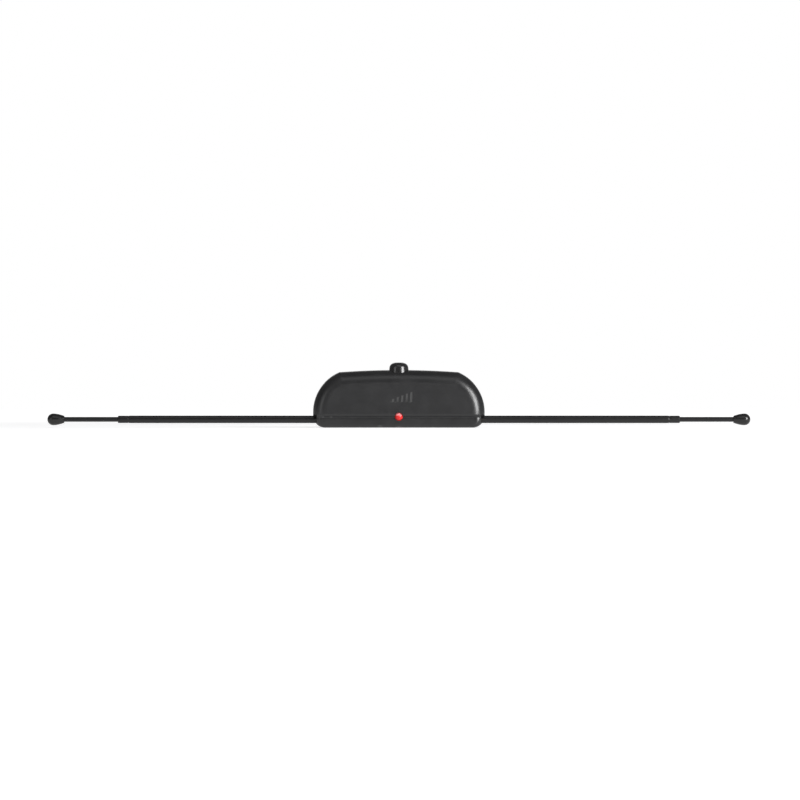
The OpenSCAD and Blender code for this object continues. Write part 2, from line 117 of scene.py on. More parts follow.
def side_point(run):
    """Point on the right outline, run metres up from where the straight side starts."""
    straight = corner_z - FOOT_R
    if run < 0:
        angle = run / FOOT_R
        return foot_x + FOOT_R * math.cos(angle), FOOT_R + FOOT_R * math.sin(angle)
    if run < straight:
        return HALF_W, FOOT_R + run
    angle = min((run - straight) / CORNER_R, shoulder_angle)
    return corner_x + CORNER_R * math.cos(angle), corner_z + CORNER_R * math.sin(angle)


def edge_distance(x, z):
    """Distance in from the outline, the bottom edge's share of it, and the way inwards."""
    ax = abs(x)
    side = math.copysign(1.0, x)
    if z < FOOT_R and ax > foot_x:
        dx, dz = ax - foot_x, z - FOOT_R
        reach = max(math.hypot(dx, dz), 1e-9)
        return FOOT_R - reach, (dz / reach) ** 2, (-side * dx / reach, -dz / reach)
    best = (HALF_W - ax, 0.0, (-side, 0.0))
    if z < FOOT_R:
        return min(best, (z, 1.0, (0.0, 1.0)))
    if z > corner_z and ax > corner_x:
        dx, dz = ax - corner_x, z - corner_z
        reach = math.hypot(dx, dz)
        if dx * math.sin(shoulder_angle) > dz * math.cos(shoulder_angle):
            return CORNER_R - reach, 0.0, (-side * dx / reach, -dz / reach)
    down = math.hypot(x, z - crown_mid)
    best = min(best, (crown_r - down, 0.0, (-x / down, -(z - crown_mid) / down)))
    return best


def smooth(t):
    """Eases from 0 to 1."""
    t = min(max(t, 0.0), 1.0)
    return t * t * (3 - 2 * t)


def fillet_depth(inside, depth, radius):
    """How far forward the surface stands at a distance inside its outline."""
    gap = radius - min(max(inside, 0.0), radius)
    return depth - radius + math.sqrt(max(radius**2 - gap**2, 0.0))


def front_surface(x, z):
    """Depth of the front cover's skin: face, step, recessed band and rounded edges."""
    inside, low, _ = edge_distance(x, z)
    up = smooth((z - BAND_TOP + BAND_BLEND) / (2 * BAND_BLEND))
    depth = FRONT_DEPTH - BAND_STEP * (1 - up)
    radius = (depth - FACE_RIM) * (1 - low) + FOOT_EDGE * low
    groove = BAND_GROOVE * math.exp(-(((z - BAND_GROOVE_Z) / BAND_GROOVE_HALF) ** 2))
    groove *= smooth((inside - BAND_GROOVE_ENDS[0]) / BAND_GROOVE_ENDS[1])
    return fillet_depth(inside, depth - groove, min(radius, FACE_FILLET))


def back_surface(x, z):
    """Depth of the back cover's skin: flat, with rounded edges."""
    inside, _, _ = edge_distance(x, z)
    return fillet_depth(inside, BACK_DEPTH, BACK_FILLET)


def cover_rows():
    """Rows of (half width, height, share of the crown's curve) from the bottom up."""
    rows = []
    for i in range(ROWS_LOW):
        z = FOOT_R * (1 - math.cos(math.radians(90) * i / ROWS_LOW))
        if z < ROWS_MEET:
            half = foot_x + FOOT_R * math.sin(math.acos(1 - z / FOOT_R))
            rows.append((half, z, 0.0))
    low_run = ROWS_MEET - FOOT_R
    length = corner_z - FOOT_R + CORNER_R * shoulder_angle
    for i in range(ROWS_HIGH + 1):
        t = i / ROWS_HIGH
        run = low_run + (length - low_run) * (ROWS_CROWDED * t**1.6 + (1 - ROWS_CROWDED) * t)
        x, z = side_point(run)
        rows.append((x, z, max(run, 0.0) / length))
    return rows


def cover_skin(surface, sign):
    """Open shell of one cover: its outer surface and the rim back to the joint."""
    bm = bmesh.new()
    grid = []
    for half, height, share in cover_rows():
        row = []
        for j in range(COLUMNS + 1):
            x = half * math.sin(math.radians(90) * (2 * j / COLUMNS - 1))
            z = height + share**2 * (crown_height(x) - crown_height(half))
            row.append(bm.verts.new((x, sign * surface(x, z), z)))
        grid.append(row)
    for low, high in zip(grid, grid[1:]):
        for j in range(COLUMNS):
            bm.faces.new((low[j], low[j + 1], high[j + 1], high[j]))
    loop = grid[0] + [row[-1] for row in grid[1:-1]] + grid[-1][::-1]
    loop += [row[0] for row in grid[-2:0:-1]]
    rings = [loop]
    for share, inset in ((0.6, 0.0), (0.0, 0.0), (None, JOINT_CHAMFER)):
        ring = []
        for v in loop:
            _, _, (nx, nz) = edge_distance(v.co.x, v.co.z)
            keep = JOINT_CHAMFER * sign if share is not None else 0.0
            y = keep + (v.co.y - keep) * (share or 0.0)
            ring.append(bm.verts.new((v.co.x + nx * inset, y, v.co.z + nz * inset)))
        rings.append(ring)
    for outer, inner in zip(rings, rings[1:]):
        for i in range(len(loop)):
            k = (i + 1) % len(loop)
            bm.faces.new((outer[i], outer[k], inner[k], inner[i]))
    bmesh.ops.recalc_face_normals(bm, faces=bm.faces)
    if sum(f.normal.y * f.calc_area() for f in bm.faces) * sign < 0:
        bmesh.ops.reverse_faces(bm, faces=bm.faces)
    return bm


def piece(name, bm):
    """A new object made from a bmesh."""
    mesh = bpy.data.meshes.new(name)
    bm.to_mesh(mesh)
    bm.free()
    made = bpy.data.objects.new(name, mesh)
    bpy.context.scene.collection.objects.link(made)
    return made


def apply_modifiers(made):
    """Makes the modifiers' result the object's own mesh."""
    depsgraph = bpy.context.evaluated_depsgraph_get()
    mesh = bpy.data.meshes.new_from_object(made.evaluated_get(depsgraph))
    made.modifiers.clear()
    made.data = mesh


def round_bar(x, z, radius, y0, y1, segments=64):
    """A closed round bar along Y."""
    bm = bmesh.new()
    rings = [[bm.verts.new((x + radius * math.cos(2 * math.pi * i / segments), y,
                            z + radius * math.sin(2 * math.pi * i / segments)))
              for i in range(segments)] for y in (y0, y1)]
    for i in range(segments):
        k = (i + 1) % segments
        bm.faces.new((rings[0][i], rings[0][k], rings[1][k], rings[1][i]))
    bm.faces.new(rings[0][::-1])
    bm.faces.new(rings[1])
    return bm


def prism(outline, y0, y1):
    """A closed prism along Y from an outline of (x, z) points."""
    bm = bmesh.new()
    front = [bm.verts.new((x, y0, z)) for x, z in outline]
    back = [bm.verts.new((x, y1, z)) for x, z in outline]
    bm.faces.new(front)
    bm.faces.new(back[::-1])
    for i in range(len(outline)):
        k = (i + 1) % len(outline)
        bm.faces.new((front[k], front[i], back[i], back[k]))
    return bm


def boolean(made, operation, solids):
    """Adds or cuts closed solids, one at a time."""
    for bm in solids:
        bmesh.ops.recalc_face_normals(bm, faces=bm.faces)
        tool = piece("tool", bm)
        step = made.modifiers.new("step", "BOOLEAN")
        step.operation = operation
        step.solver = "MANIFOLD"
        step.object = tool
        apply_modifiers(made)
        bpy.data.objects.remove(tool)


FLAT_FACE_WEIGHT = 60


def shade(made, angle=40):
    """Shades the faces smooth, with edges sharper than the angle kept sharp."""
    made.data.polygons.foreach_set("use_smooth", [True] * len(made.data.polygons))
    made.data.set_sharp_from_angle(angle=math.radians(angle))
    weighted = made.modifiers.new("weighted", "WEIGHTED_NORMAL")
    weighted.keep_sharp = True
    weighted.weight = FLAT_FACE_WEIGHT
    apply_modifiers(made)


PIVOT_X = 43.0 * MM
tube_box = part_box("right_outer_tube")
PIVOT_Z = (tube_box[0].z + tube_box[1].z) / 2
TUBE_R = (tube_box[1].z - tube_box[0].z) / 2
EYE_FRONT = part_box("right_solder_tag")[0].y
EYE_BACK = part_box("right_spring_washer")[1].y
SWING = 75
SLOT_GAP = 0.5 * MM
COVER_SCREW_X = HALF_W - 19.75 * MM
COVER_SCREW_Z = CASE_H - 9.2 * MM
HEAD_RECESS_R = 2.3 * MM
SCREW_SEAT = BACK_DEPTH - 2.1 * MM
NOTCH = 2.5 * MM
NOTCH_GAP = 0.3 * MM
NOTCH_CORNER = 0.2 * MM
GLAND_SEAT = CASE_H - 2.1 * MM
GLAND_HOLE_R = 6.45 * MM
GLAND_NECK_R = 4.1 * MM
GLAND_POCKET_R = 5.6 * MM
GLAND_POCKET_Z = 20.0 * MM
WEB_HALF = 8.3 * MM
WEB_TOP = CASE_H - WALL + 0.05 * MM
WEB_FRONT = -FRONT_DEPTH + 0.4 * FACE_FILLET
WEB_CORNER = 0.6 * MM
LED_Z = 6.85 * MM
LED_HOLE_R = 2.6 * MM
SCREW_HOLE_R = 1.02 * MM
SCREW_CLEAR_R = 1.15 * MM
SCREW_BOSS_R = 3.2 * MM
PIVOT_BOSS_R = 2.9 * MM
PIVOT_HOLE_Y = -6.2 * MM
COVER_HOLE_Y = -7.5 * MM
BOARD_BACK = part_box("circuit_board")[1].y
BOARD_BOSS_X = 24.0 * MM
BOARD_BOSS_Z = (9.0 * MM, 24.0 * MM)
BOARD_BOSS_R = 2.2 * MM
MARK_BARS = 5
MARK_X = 2.0 * MM
MARK_Z = 15.8 * MM
MARK_PITCH = 2.8 * MM
MARK_BAR_W = 1.4 * MM
MARK_LOW = 2.0 * MM
MARK_STEP = 1.05 * MM
MARK_CORNER = 0.35 * MM


def slot_outline(side):
    """The fan that a swinging arm sweeps, as (x, z) points."""
    half = TUBE_R + SLOT_GAP
    reach = HALF_W
    top = math.radians(SWING)
    points = [(0.0, -half), (reach, -half)]
    points += [(reach * math.cos(top * i / 6), reach * math.sin(top * i / 6)) for i in range(6)]
    points.append((reach * math.cos(top) - half * math.sin(top),
                   reach * math.sin(top) + half * math.cos(top)))
    points.append((-half * math.sin(top), half * math.cos(top)))
    return [(side * (PIVOT_X + x), PIVOT_Z + z) for x, z in points]


def rounded_box(low, high, radius):
    """A closed box whose edges along Y are rounded."""
    bm = bmesh.new()
    made = bmesh.ops.create_cube(bm, size=1.0)
    for v in made["verts"]:
        v.co = Vector([(low[i] + high[i]) / 2 + v.co[i] * (high[i] - low[i]) for i in range(3)])
    edges = {e for v in made["verts"] for e in v.link_edges
             if abs((e.verts[0].co - e.verts[1].co).normalized().y) > 0.9}
    bmesh.ops.bevel(bm, geom=list(edges), offset=radius, segments=5, profile=0.5,
                    affect="EDGES")
    return bm


def thicken(made):
    """Gives an open skin the moulding's wall, inwards."""
    solid = made.modifiers.new("wall", "SOLIDIFY")
    solid.thickness = WALL
    solid.offset = -1.0
    solid.use_even_offset = True
    apply_modifiers(made)


def linear(code):
    """An sRGB hex colour as the linear values that the shaders want."""
    parts = [int(code[i:i + 2], 16) / 255 for i in (1, 3, 5)]
    return [p / 12.92 if p <= 0.04045 else ((p + 0.055) / 1.055) ** 2.4 for p in parts] + [1.0]


def add(owner, kind, values=None, links=None, **settings):
    """Adds a node with its settings, its values and the sockets it reads."""
    node = owner.node_tree.nodes.new("ShaderNode" + kind)
    for name, value in settings.items():
        setattr(node, name, value)
    for name, value in (values or {}).items():
        node.inputs[name].default_value = value
    for name, source in (links or {}).items():
        owner.node_tree.links.new(source, node.inputs[name])
    return node


GRAIN_SHARE = 0.35
DRIFT_RANGE = (0.42, 0.92)
GLOSS_RANGE = (0.5, 0.85)
RIM_RANGE = (0.545, 0.64)
RIM_BROKEN = 0.04
RIM_MOST = 0.55


def finish(name, dark, light, patch, grain, lift, rough, spread, wear=None, stretch=None,
           cells=False, **shader):
    """A surface whose colour drifts in patches, with a grain that sets its bump and roughness.

    patch and grain are sizes in metres, lift is the grain's height, rough and spread are the
    middle and half range of the roughness, and wear is the colour of rubbed edges."""
    material = bpy.data.materials.new(name)
    material.use_nodes = True
    shade_node = material.node_tree.nodes["Principled BSDF"]
    place = add(material, "TexCoord").outputs["Object"]
    if stretch:
        place = add(material, "Mapping", {"Scale": stretch}, {"Vector": place}).outputs[0]
    clouds = add(material, "TexNoise", {"Scale": 1 / patch, "Detail": 4.0, "Roughness": 0.6},
                 {"Vector": place})
    if cells:
        fine = add(material, "TexVoronoi", {"Scale": 1 / grain, "Randomness": 1.0},
                   {"Vector": place}).outputs["Distance"]
    else:
        fine = add(material, "TexNoise", {"Scale": 1 / grain, "Detail": 3.0, "Roughness": 0.55},
                   {"Vector": place}).outputs[0]
    mixed = add(material, "Math", {1: GRAIN_SHARE}, {0: fine}, operation="MULTIPLY")
    mixed = add(material, "Math", {}, {0: clouds.outputs[0], 1: mixed.outputs[0]}, operation="ADD")
    drift = add(material, "MapRange", {"From Min": DRIFT_RANGE[0], "From Max": DRIFT_RANGE[1]},
                {"Value": mixed.outputs[0]})
    colour = add(material, "Mix", {6: linear(dark), 7: linear(light)},
                 {0: drift.outputs[0]}, data_type="RGBA").outputs[2]
    if wear:
        edge = add(material, "NewGeometry").outputs["Pointiness"]
        broken = add(material, "Math", {1: RIM_BROKEN}, {0: fine}, operation="MULTIPLY")
        edge = add(material, "Math", {}, {0: edge, 1: broken.outputs[0]}, operation="ADD")
        edge = add(material, "MapRange", {"From Min": RIM_RANGE[0], "From Max": RIM_RANGE[1],
                                          "To Max": RIM_MOST}, {"Value": edge.outputs[0]})
        colour = add(material, "Mix", {7: linear(wear)}, {0: edge.outputs[0], 6: colour},
                     data_type="RGBA").outputs[2]
    gloss = add(material, "MapRange", {"From Min": GLOSS_RANGE[0], "From Max": GLOSS_RANGE[1],
                                       "To Min": rough - spread, "To Max": rough + spread},
                {"Value": mixed.outputs[0]})
    relief = add(material, "Bump", {"Strength": 1.0, "Distance": lift}, {"Height": fine})
    links = material.node_tree.links
    links.new(colour, shade_node.inputs["Base Color"])
    links.new(gloss.outputs[0], shade_node.inputs["Roughness"])
    links.new(relief.outputs[0], shade_node.inputs["Normal"])
    for socket, value in shader.items():
        shade_node.inputs[socket.replace("_", " ")].default_value = value
    return material


def wears(target, material):
    """Gives every face of an object this one material."""
    if target.name in nodes:
        for slot in target.material_slots:
            slot.material = material
    else:
        target.data.materials.clear()
        target.data.materials.append(material)


# Moulded ABS: satin black with the faint mottle of a spark-eroded tool. The
# real grain of 0.1 mm is drawn at 0.45 mm, so that it shows.
moulded_abs = finish("moulded_abs_spark_grain", "#131314", "#1b1b1c", patch=9 * MM,
                     grain=0.45 * MM, lift=0.008 * MM, rough=0.34, spread=0.05, wear="#4c4c4c",
                     IOR=1.5)


def turned(profile, centre=(0.0, 0.0), along="z", segments=96, closed=True):
    """Revolves (radius, level) points; a closed profile makes a ring, an open one ends in points."""
    bm = bmesh.new()
    rings = []
    for radius, level in profile:
        ring = []
        count = segments if radius > 1e-7 else 1
        for i in range(count):
            angle = 2 * math.pi * i / segments
            a, b = radius * math.cos(angle), radius * math.sin(angle)
            if along == "z":
                ring.append(bm.verts.new((centre[0] + a, centre[1] + b, level)))
            elif along == "x":
                ring.append(bm.verts.new((level, centre[0] + a, centre[1] + b)))
            else:
                ring.append(bm.verts.new((centre[0] + a, level, centre[1] + b)))
        rings.append(ring)
    pairs = list(zip(rings, rings[1:])) + ([(rings[-1], rings[0])] if closed else [])
    for low, high in pairs:
        for i in range(segments):
            k = (i + 1) % segments
            corners = dict.fromkeys([low[i % len(low)], low[k % len(low)],
                                     high[k % len(high)], high[i % len(high)]])
            corners = list(corners)
            if len(corners) > 2:
                bm.faces.new(corners)
    bmesh.ops.recalc_face_normals(bm, faces=bm.faces)
    return bm


def gland_cut():
    """The room for the gland's flange, neck and head, as one turned solid."""
    shelf = GLAND_SEAT - WALL
    return turned([(0.0, GLAND_POCKET_Z), (GLAND_POCKET_R, GLAND_POCKET_Z), (GLAND_POCKET_R, shelf),
                   (GLAND_NECK_R, shelf), (GLAND_NECK_R, GLAND_SEAT), (GLAND_HOLE_R, GLAND_SEAT),
                   (GLAND_HOLE_R, 2 * CASE_H), (0.0, 2 * CASE_H)], closed=False)


def front_cover_shell():
    """The face with its mark and bosses, cut for the gland, indicator, arms and screws."""
    shell = piece("front_cover_shell", cover_skin(front_surface, -1))
    thicken(shell)
    added = [rounded_box((-WEB_HALF, WEB_FRONT, GLAND_SEAT - WALL), (WEB_HALF, 0.0, WEB_TOP),
                         WEB_CORNER)]
    for side in (1, -1):
        added.append(round_bar(side * PIVOT_X, PIVOT_Z, PIVOT_BOSS_R,
                               -FRONT_DEPTH + BAND_STEP + WALL / 2, EYE_FRONT))
        added.append(round_bar(side * COVER_SCREW_X, COVER_SCREW_Z, SCREW_BOSS_R,
                               -FRONT_DEPTH + WALL / 2, 0.0))
    for i in range(MARK_BARS):
        x = MARK_X + (i - (MARK_BARS - 1) / 2) * MARK_PITCH
        added.append(rounded_box((x - MARK_BAR_W / 2, -FRONT_DEPTH - MARK_RISE, MARK_Z),
                                 (x + MARK_BAR_W / 2, -FRONT_DEPTH + WALL / 2,
                                  MARK_Z + MARK_LOW + i * MARK_STEP), MARK_CORNER))
    boolean(shell, "UNION", added)
    cuts = [round_bar(0.0, LED_Z, LED_HOLE_R, -2 * FRONT_DEPTH, 0.0, segments=96), gland_cut()]
    for side in (1, -1):
        low, high = sorted((side * (HALF_W - NOTCH), side * (HALF_W + NOTCH)))
        cuts.append(prism(slot_outline(side), -TUBE_R - SLOT_GAP, 1 * MM))
        cuts.append(rounded_box((low, -2 * FRONT_DEPTH, PIVOT_Z - TUBE_R - NOTCH_GAP),
                                (high, 0.5 * MM, PIVOT_Z + TUBE_R + NOTCH_GAP), NOTCH_CORNER))
        cuts.append(round_bar(side * PIVOT_X, PIVOT_Z, SCREW_HOLE_R, PIVOT_HOLE_Y, 0.0))
        cuts.append(round_bar(side * COVER_SCREW_X, COVER_SCREW_Z, SCREW_HOLE_R, COVER_HOLE_Y,
                              1 * MM))
    boolean(shell, "DIFFERENCE", cuts)
    return shell


def back_cover_shell():
    """The plain back with its bosses, cut for the gland, the arms and four sunk screw heads."""
    shell = piece("back_cover_shell", cover_skin(back_surface, 1))
    thicken(shell)
    inner = BACK_DEPTH - WALL / 2
    added = [rounded_box((-WEB_HALF, 0.0, GLAND_SEAT - WALL), (WEB_HALF, inner, WEB_TOP),
                         WEB_CORNER)]
    cuts = [gland_cut()]
    for side in (1, -1):
        added.append(round_bar(side * PIVOT_X, PIVOT_Z, SCREW_BOSS_R, EYE_BACK, inner))
        added.append(round_bar(side * COVER_SCREW_X, COVER_SCREW_Z, SCREW_BOSS_R, 0.0, inner))
        cuts.append(prism(slot_outline(side), -1 * MM, TUBE_R + SLOT_GAP))
        for x, z in ((PIVOT_X, PIVOT_Z), (COVER_SCREW_X, COVER_SCREW_Z)):
            cuts.append(round_bar(side * x, z, HEAD_RECESS_R, SCREW_SEAT, 2 * BACK_DEPTH))
            cuts.append(round_bar(side * x, z, SCREW_CLEAR_R, -1 * MM, SCREW_SEAT + 0.5 * MM))
        for z in BOARD_BOSS_Z:
            added.append(round_bar(side * BOARD_BOSS_X, z, BOARD_BOSS_R, BOARD_BACK, inner))
    boolean(shell, "UNION", added)
    boolean(shell, "DIFFERENCE", cuts)
    return shell


for shell, node in ((front_cover_shell(), "front_cover"), (back_cover_shell(), "back_cover")):
    shade(shell, 35)
    wears(shell, moulded_abs)
    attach(shell, "housing")
    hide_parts(node)

# ---------------------------------------------------------------------------
# Foam pad
# A strip of black EVA foam tape stuck to the back cover, which rests against
# a wall or window. It is die cut, so its sides are a hair hollow and its rims soft.
PAD_CORNER = 2.0 * MM
PAD_CELL = 1.1 * MM

pad_low, pad_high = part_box("foam_pad")
pad_mid = (pad_low + pad_high) / 2
pad_half = (pad_high - pad_low) / 2


def pad_outline(inset, steps=10):
    """Points round the pad's die-cut edge, moved inwards by inset."""
    points = []
    radius = max(PAD_CORNER - inset, 0.4 * MM)
    for quarter, (sx, sz) in enumerate(((1, 1), (-1, 1), (-1, -1), (1, -1))):
        cx = sx * (pad_half.x - inset - radius)
        cz = sz * (pad_half.z - inset - radius)
        for i in range(steps + 1):
            angle = math.radians(90) * (quarter + i / steps)
            points.append((pad_mid.x + cx + radius * math.cos(angle),
                           pad_mid.z + cz + radius * math.sin(angle)))
    return points


def lofted(rings):
    """A closed solid through rings of points, all of the same number."""
    bm = bmesh.new()
    made = [[bm.verts.new(p) for p in ring] for ring in rings]
    for low, high in zip(made, made[1:]):
        for i in range(len(low)):
            k = (i + 1) % len(low)
            bm.faces.new((low[i], low[k], high[k], high[i]))
    for ring in (made[0][::-1], made[-1]):
        middle = bm.verts.new(sum((v.co for v in ring), Vector()) / len(ring))
        for i in range(len(ring)):
            bm.faces.new((ring[i], ring[(i + 1) % len(ring)], middle))
    bmesh.ops.recalc_face_normals(bm, faces=bm.faces)
    return bm


# Each level is an inset in millimetres and a share of the pad's thickness.
pad_levels = [(0.6, 0.0), (0.12, 0.04), (0.0, 0.25), (0.05, 0.5), (0.0, 0.75), (0.1, 0.93),
              (0.35, 0.985), (1.2, 1.0), (3.0, 1.0), (5.5, 1.0), (8.0, 1.0)]
pad = piece("foam_pad_tape", lofted([
    [(x, pad_low.y + (pad_high.y - pad_low.y) * share, z) for x, z in pad_outline(inset * MM)]
    for inset, share in pad_levels]))
shade(pad, 50)
# Closed-cell EVA foam: dead matt, with open cells of about 0.4 mm along its cut
# faces, drawn at 1.1 mm so that they show.
wears(pad, finish("eva_foam_die_cut", "#1c1c1c", "#2a2a2a", patch=6 * MM, grain=PAD_CELL,
                  lift=0.10 * MM, rough=0.93, spread=0.05, cells=True, IOR=1.45,
                  Specular_IOR_Level=0.3))
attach(pad, "housing")
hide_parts("foam_pad")

# ---------------------------------------------------------------------------
# Cable gland
# A round bush of soft black PVC in the top of the housing, moulded in one
# piece. Its flange sits under the covers, and the cable passes down the bore.
GLAND_R = 5.9 * MM
GLAND_DRAFT = 0.45 * MM
GLAND_BORE = 1.6 * MM
GLAND_SHOULDER = 3.2 * MM
GLAND_FLANGE_R = 5.5 * MM
GLAND_NECK = 4.0 * MM
FLANGE_EDGE = 0.1 * MM
GLAND_SKIRT = 0.2 * MM
GLAND_MOUTH = 0.4 * MM

gland_low, gland_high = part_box("cable_gland")


def arc(cx, cy, radius, start, end, steps):
    """Points of an arc, for a turned profile."""
    return [(cx + radius * math.cos(math.radians(start + (end - start) * i / steps)),
             cy + radius * math.sin(math.radians(start + (end - start) * i / steps)))
            for i in range(steps + 1)]


gland_top = gland_high.z
gland_foot = GLAND_R + GLAND_DRAFT
gland_profile = [(GLAND_BORE, gland_low.z), (GLAND_FLANGE_R - FLANGE_EDGE, gland_low.z)]
gland_profile += [(GLAND_FLANGE_R, gland_low.z + FLANGE_EDGE), (GLAND_FLANGE_R, GLAND_SEAT - WALL)]
gland_profile += [(GLAND_NECK, GLAND_SEAT - WALL), (GLAND_NECK, GLAND_SEAT)]
gland_profile += [(gland_foot - GLAND_SKIRT, GLAND_SEAT)]
gland_profile += arc(gland_foot - GLAND_SKIRT, GLAND_SEAT + GLAND_SKIRT, GLAND_SKIRT, -60, 5, 5)
gland_profile += [(GLAND_R + 0.3 * MM, GLAND_SEAT + 0.9 * MM)]
gland_profile += [(GLAND_R + 0.15 * MM, GLAND_SEAT + 2 * MM)]
gland_profile += arc(GLAND_R - GLAND_SHOULDER, gland_top - GLAND_SHOULDER - 0.25 * MM,
                     GLAND_SHOULDER, 2, 76, 22)
gland_profile += [(3.0 * MM, gland_top - 0.12 * MM), (2.5 * MM, gland_top - 0.04 * MM)]
gland_profile += arc(GLAND_BORE + GLAND_MOUTH, gland_top - GLAND_MOUTH, GLAND_MOUTH, 90, 180, 6)
gland = piece("cable_gland_bush", turned(gland_profile))
shade(gland, 40)
# Flexible PVC: smoother and glossier than the housing, so it takes a clear
# streak of light, with a faint orange peel.
wears(gland, finish("moulded_pvc_polished", "#161616", "#1e1e1e", patch=5 * MM, grain=1.6 * MM,
                    lift=0.002 * MM, rough=0.22, spread=0.03, wear="#3a3a3a", IOR=1.53))
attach(gland, "housing")
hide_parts("cable_gland")

# ---------------------------------------------------------------------------
# Indicator
# A 5 mm light-emitting diode pushed into the band of the front cover. Its lens
# is a red epoxy casting with a rim at its inner end.
LENS_R = 2.5 * MM
LENS_RIM = 0.4 * MM
LENS_RIM_T = 1.0 * MM
LENS_RIM_EDGE = 0.1 * MM
LENS_STEPS = 24

lens_low, lens_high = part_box("led_lens")
lens_profile = [(0.0, lens_high.y), (LENS_R + LENS_RIM - LENS_RIM_EDGE, lens_high.y)]
lens_profile += [(LENS_R + LENS_RIM, lens_high.y - LENS_RIM_EDGE)]
lens_profile += [(LENS_R + LENS_RIM, lens_high.y - LENS_RIM_T)]
lens_profile += [(LENS_R, lens_high.y - LENS_RIM_T)]
lens_profile += [(r, 2 * (lens_low.y + LENS_R) - y) for r, y in
                 arc(0.0, lens_low.y + LENS_R, LENS_R, 0, 90, LENS_STEPS)][:-1]
lens_profile += [(0.0, lens_low.y)]
lens = piece("indicator_lens", turned(lens_profile, centre=(0.0, LED_Z), along="y", closed=False))
shade(lens, 40)
# Red epoxy: the casting scatters light inside it, so it reads as a warm red with a soft sheen.
# The diode is not lit; its weak red emission is a painted glow standing in for that scattered light.
cast_epoxy = finish("cast_epoxy_red", "#bd1c1b", "#c4211f", patch=6 * MM, grain=0.8 * MM,
                    lift=0.0002 * MM, rough=0.42, spread=0.02, IOR=1.45,
                    Emission_Color=linear("#ff2a26"), Emission_Strength=0.06)
# Painted highlight: by height, the lens's upper half is painted a paler red, which stands in for
# light from above falling on it.
PAINTED_HIGHLIGHT_LOW = 0.1 * MM
PAINTED_HIGHLIGHT_HIGH = 1.3 * MM
lens_shader = cast_epoxy.node_tree.nodes["Principled BSDF"]
body_red = lens_shader.inputs["Base Color"].links[0].from_socket
height = add(cast_epoxy, "SeparateXYZ", links={
    0: add(cast_epoxy, "TexCoord").outputs["Object"]}).outputs["Z"]
# Mask of the painted highlight, rising from just above the lens's middle to near its top.
painted_highlight_mask = add(cast_epoxy, "MapRange", {"From Min": LED_Z + PAINTED_HIGHLIGHT_LOW, "From Max": LED_Z + PAINTED_HIGHLIGHT_HIGH},
          {"Value": height}, interpolation_type="SMOOTHSTEP")
# The painted highlight mixes the body red towards pale pink.
painted_highlight_mix = add(cast_epoxy, "Mix", {7: linear("#e88a8c")}, {0: painted_highlight_mask.outputs[0], 6: body_red},
          data_type="RGBA")
cast_epoxy.node_tree.links.new(painted_highlight_mix.outputs[2], lens_shader.inputs["Base Color"])
wears(lens, cast_epoxy)
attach(lens, "housing")
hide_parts("led_lens")

# ---------------------------------------------------------------------------
# Arms
# Each arm is a thin drawn brass tube with a black lacquer, a rod that slides
# in it, and a moulded tip. A groove rolled near the mouth holds the guide bush.
TUBE_END = tube_box[1].x
TUBE_BORE = TUBE_R - 0.35 * MM
ROD_R = (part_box("right_inner_rod")[1].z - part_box("right_inner_rod")[0].z) / 2
ROD_CHAMFER = 0.2 * MM
GROOVE_X = TUBE_END - 6.5 * MM
GROOVE_DEPTH = 0.2 * MM
GROOVE_HALF = 0.6 * MM
GROOVE_FLOOR_HALF = 0.2 * MM
NOSE_DROP = 0.07 * MM
MOUTH_ROUND = 0.35 * MM
LIP_T = 0.3 * MM
TUBE_EDGE = 0.08 * MM
ARM_STEPS = 24
GROOVE_STEPS = 12
LIP_R = ROD_R + 0.2 * MM
TIP_NECK_R = 2.3 * MM
TIP_R = (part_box("right_tip_cap")[1].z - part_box("right_tip_cap")[0].z) / 2
TIP_COLLAR = 0.3 * MM
TIP_ROUND = 0.25 * MM
TIP_STEP = 5
TIP_SOCKET = 6.0 * MM
TIP_SOCKET_R = ROD_R + 0.02 * MM


def tube_profile(low, high):
    """Outer skin with its rolled groove and rolled mouth, then the bore."""
    nose = TUBE_R - NOSE_DROP
    outer = [(TUBE_R - TUBE_EDGE, low), (TUBE_R, low + TUBE_EDGE)]
    plain = GROOVE_X - 1.5 * GROOVE_HALF - low
    outer += [(TUBE_R, low + plain * i / ARM_STEPS) for i in range(1, ARM_STEPS + 1)]
    for i in range(GROOVE_STEPS + 1):
        t = i / GROOVE_STEPS
        x = GROOVE_X + (t * 2 - 1) * GROOVE_HALF
        drop = NOSE_DROP * smooth(2 * t - 1)
        outer.append((TUBE_R - drop - (GROOVE_DEPTH - drop) * math.sin(math.pi * t) ** 2, x))
    outer += [(nose, GROOVE_X + (high - GROOVE_X) * share) for share in (0.25, 0.5, 0.75)]
    outer += arc(nose - MOUTH_ROUND, high - MOUTH_ROUND, MOUTH_ROUND, 0, 90, 6)
    outer += [(LIP_R + 0.05 * MM, high), (LIP_R, high - 0.05 * MM), (LIP_R, high - LIP_T)]
    inner_nose = TUBE_BORE - NOSE_DROP
    inner_groove = TUBE_BORE - GROOVE_DEPTH
    outer += [(inner_nose, high - LIP_T), (inner_nose, GROOVE_X + GROOVE_HALF)]
    outer += [(inner_groove, GROOVE_X + GROOVE_FLOOR_HALF)]
    outer += [(inner_groove, GROOVE_X - GROOVE_FLOOR_HALF)]
    outer += [(TUBE_BORE, GROOVE_X - GROOVE_HALF), (TUBE_BORE, low)]
    return outer


def rod_profile(low, high):
    """A plain round bar with chamfered ends."""
    sides = [(ROD_R, low + ROD_CHAMFER + (high - low - 2 * ROD_CHAMFER) * i / ARM_STEPS)
             for i in range(ARM_STEPS + 1)]
    return ([(0.0, low), (ROD_R - ROD_CHAMFER, low)] + sides
            + [(ROD_R - ROD_CHAMFER, high), (0.0, high)])


